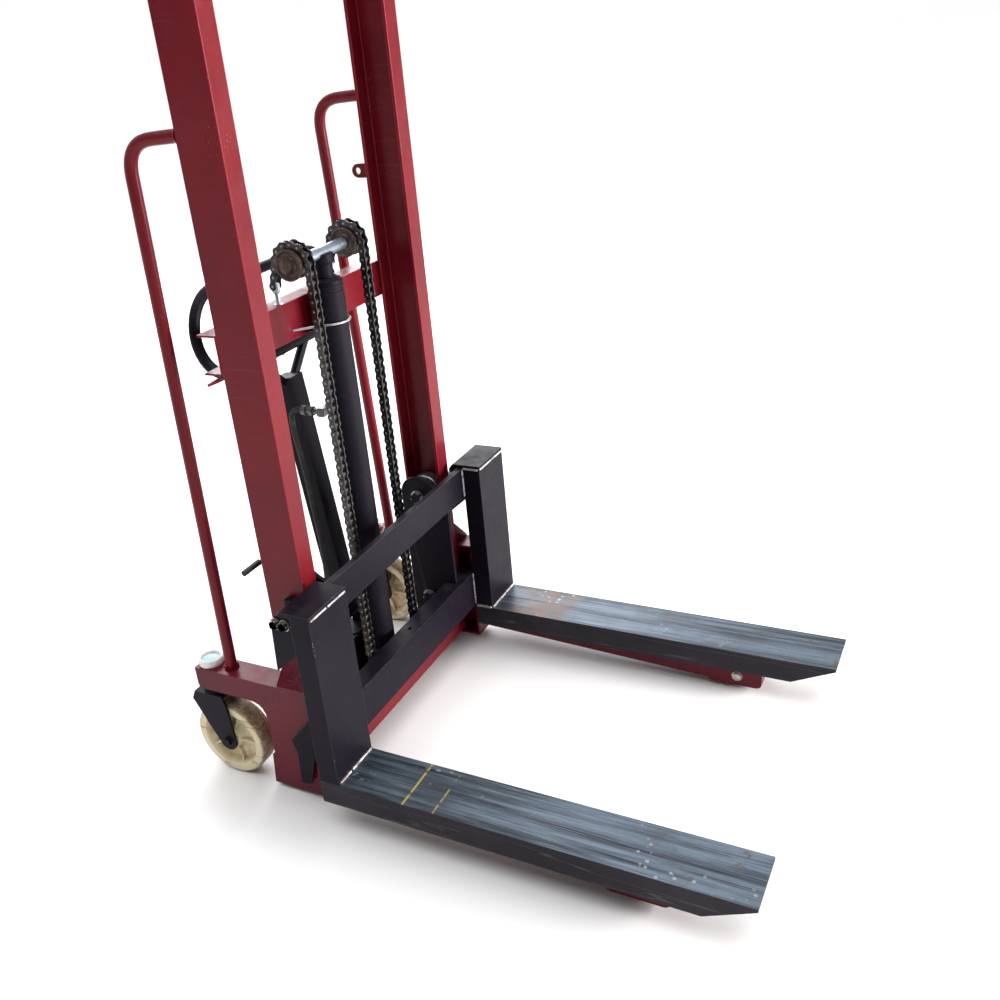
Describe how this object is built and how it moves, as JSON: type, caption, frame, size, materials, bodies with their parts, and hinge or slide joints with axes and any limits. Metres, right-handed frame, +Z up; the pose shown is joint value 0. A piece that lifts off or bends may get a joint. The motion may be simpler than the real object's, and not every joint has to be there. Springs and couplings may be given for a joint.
{
  "type": "walkie stacker",
  "caption": "Manual hydraulic stacker: two-channel mast on straddle legs, chain-lifted fork carriage, tiller hand pump, foot pedal and swivel casters.",
  "frame": {"origin": "on the floor, under the middle of the machine's length and width", "axes": "+Z up, -Y towards the fork tips, +X to the left of an operator who stands behind and faces the forks"},
  "size_m": [0.88, 1.291, 2.06],
  "materials": {
    "red_paint": "sprayed red gloss, chipped at the edges",
    "black_paint": "thin black gloss over welded steel",
    "fork_steel": "black paint worn to a blue-grey sheen on top",
    "bare_steel": "bright turned steel",
    "oily_chain": "dark oiled steel with polished pins",
    "wheel_nylon": "cast nylon, yellowed and dirty on the tread",
    "black_rubber": "matt black rubber",
    "cap_plastic": "white ring with a pale blue centre"
  },
  "bodies": {
    "frame": {"mast_channel_right": "red_paint", "mast_channel_left": "red_paint", "top_beam": "red_paint", "mid_beam": "red_paint", "base_crossmember": "red_paint", "base_side_right": "red_paint", "base_side_left": "red_paint", "outrigger_leg_right": "red_paint", "outrigger_leg_left": "red_paint", "load_roller_axle_right": "bare_steel", "load_roller_axle_left": "bare_steel", "guard_hoop_right": "red_paint", "guard_hoop_left": "red_paint", "caster_cap_right": "cap_plastic", "caster_cap_left": "cap_plastic", "chain_anchor_right": "bare_steel", "chain_anchor_left": "bare_steel", "chain_rear_right": "oily_chain", "chain_rear_left": "oily_chain", "cylinder_barrel": "black_paint", "cylinder_gland": "black_paint", "cylinder_clamp": "bare_steel", "hose_fitting": "bare_steel", "hydraulic_hose": "black_rubber", "pump_body": "black_paint", "pedal_bracket": "black_paint"},
    "ram": {"lift_ram": "black_paint", "crosshead_axle": "bare_steel", "chain_wrap_right": "oily_chain", "chain_wrap_left": "oily_chain", "chain_front_right": "oily_chain", "chain_front_left": "oily_chain"},
    "pulley_right": {"chain_pulley_right": "oily_chain"},
    "pulley_left": {"chain_pulley_left": "oily_chain"},
    "carriage": {"fork_right": "fork_steel", "fork_left": "fork_steel", "carriage_upright_right": "black_paint", "carriage_upright_left": "black_paint", "upper_crossbar": "black_paint", "lower_crossbar": "black_paint", "inner_plate_right": "black_paint", "inner_plate_left": "black_paint", "side_guide_right": "black_paint", "side_guide_left": "black_paint"},
    "mast_roller_lower_right": {"mast_roller_lower_right": "bare_steel"},
    "mast_roller_lower_left": {"mast_roller_lower_left": "bare_steel"},
    "mast_roller_upper_right": {"mast_roller_upper_right": "bare_steel"},
    "mast_roller_upper_left": {"mast_roller_upper_left": "bare_steel"},
    "load_roller_right": {"load_roller_right": "wheel_nylon"},
    "load_roller_left": {"load_roller_left": "wheel_nylon"},
    "caster_right": {"caster_fork_right": "black_paint"},
    "caster_left": {"caster_fork_left": "black_paint"},
    "wheel_right": {"caster_wheel_right": "wheel_nylon"},
    "wheel_left": {"caster_wheel_left": "wheel_nylon"},
    "tiller": {"tiller_tube": "black_paint", "tiller_loop": "black_paint"},
    "release_lever": {"release_lever": "red_paint"},
    "plunger": {"pump_plunger": "bare_steel"},
    "pedal": {"foot_pedal": "black_paint"}
  },
  "joints": [
    {"name": "ram_lift", "type": "slide", "parent": "frame", "child": "ram", "axis": [0, 0, 1], "range_m": [0, 0.74], "deforming": ["chain_rear_right", "chain_rear_left"]},
    {"name": "carriage_lift", "type": "slide", "parent": "ram", "child": "carriage", "axis": [0, 0, 1], "range_m": [0, 0.74], "deforming": ["chain_front_right", "chain_front_left"]},
    {"name": "pulley_right_spin", "type": "hinge", "parent": "ram", "child": "pulley_right", "pos_m": [-0.099, 0.361, 1.124], "axis": [-1, 0, 0], "continuous": true},
    {"name": "pulley_left_spin", "type": "hinge", "parent": "ram", "child": "pulley_left", "pos_m": [0.099, 0.361, 1.124], "axis": [-1, 0, 0], "continuous": true},
    {"name": "mast_roller_lower_right_spin", "type": "hinge", "parent": "carriage", "child": "mast_roller_lower_right", "pos_m": [-0.294, 0.353, 0.165], "axis": [1, 0, 0], "continuous": true},
    {"name": "mast_roller_lower_left_spin", "type": "hinge", "parent": "carriage", "child": "mast_roller_lower_left", "pos_m": [0.294, 0.353, 0.165], "axis": [1, 0, 0], "continuous": true},
    {"name": "mast_roller_upper_right_spin", "type": "hinge", "parent": "carriage", "child": "mast_roller_upper_right", "pos_m": [-0.294, 0.353, 0.451], "axis": [1, 0, 0], "continuous": true},
    {"name": "mast_roller_upper_left_spin", "type": "hinge", "parent": "carriage", "child": "mast_roller_upper_left", "pos_m": [0.294, 0.353, 0.451], "axis": [1, 0, 0], "continuous": true},
    {"name": "load_roller_right_spin", "type": "hinge", "parent": "frame", "child": "load_roller_right", "pos_m": [-0.362, -0.424, 0.037], "axis": [1, 0, 0], "continuous": true},
    {"name": "load_roller_left_spin", "type": "hinge", "parent": "frame", "child": "load_roller_left", "pos_m": [0.362, -0.424, 0.037], "axis": [1, 0, 0], "continuous": true},
    {"name": "caster_right_swivel", "type": "hinge", "parent": "frame", "child": "caster_right", "pos_m": [-0.35, 0.582, 0.2], "axis": [0, 0, 1], "continuous": true},
    {"name": "caster_left_swivel", "type": "hinge", "parent": "frame", "child": "caster_left", "pos_m": [0.35, 0.582, 0.2], "axis": [0, 0, 1], "continuous": true},
    {"name": "wheel_right_spin", "type": "hinge", "parent": "caster_right", "child": "wheel_right", "pos_m": [-0.35, 0.553, 0.093], "axis": [1, 0, 0], "continuous": true},
    {"name": "wheel_left_spin", "type": "hinge", "parent": "caster_left", "child": "wheel_left", "pos_m": [0.35, 0.553, 0.093], "axis": [1, 0, 0], "continuous": true},
    {"name": "tiller_pump", "type": "hinge", "parent": "frame", "child": "tiller", "pos_m": [0, 0.443, 0.25], "axis": [-1, 0, 0], "range_deg": [0, 45], "stiffness_Nm_per_rad": 20, "springref_deg": -68.75},
    {"name": "plunger_stroke", "type": "slide", "parent": "frame", "child": "plunger", "axis": [0, 0, -1], "range_m": [0, 0.031]},
    {"name": "release_lever_squeeze", "type": "hinge", "parent": "tiller", "child": "release_lever", "pos_m": [-0.172, 0.5311, 0.9005], "axis": [0, 1, 0], "range_deg": [0, 18], "stiffness_Nm_per_rad": 0.4, "springref_deg": -20.05},
    {"name": "pedal_stroke", "type": "hinge", "parent": "frame", "child": "pedal", "pos_m": [-0.07, 0.508, 0.096], "axis": [-1, 0, 0], "range_deg": [0, 25], "stiffness_Nm_per_rad": 6, "springref_deg": -40.11}
  ],
  "couplings": [
    {"joint": "carriage_lift", "follows": "ram_lift", "ratio": 1},
    {"joint": "pulley_right_spin", "follows": "ram_lift", "rad_per_m": 25.126},
    {"joint": "pulley_left_spin", "follows": "ram_lift", "rad_per_m": 25.126},
    {"joint": "plunger_stroke", "follows": "tiller_pump", "m_per_rad": 0.038}
  ]
}
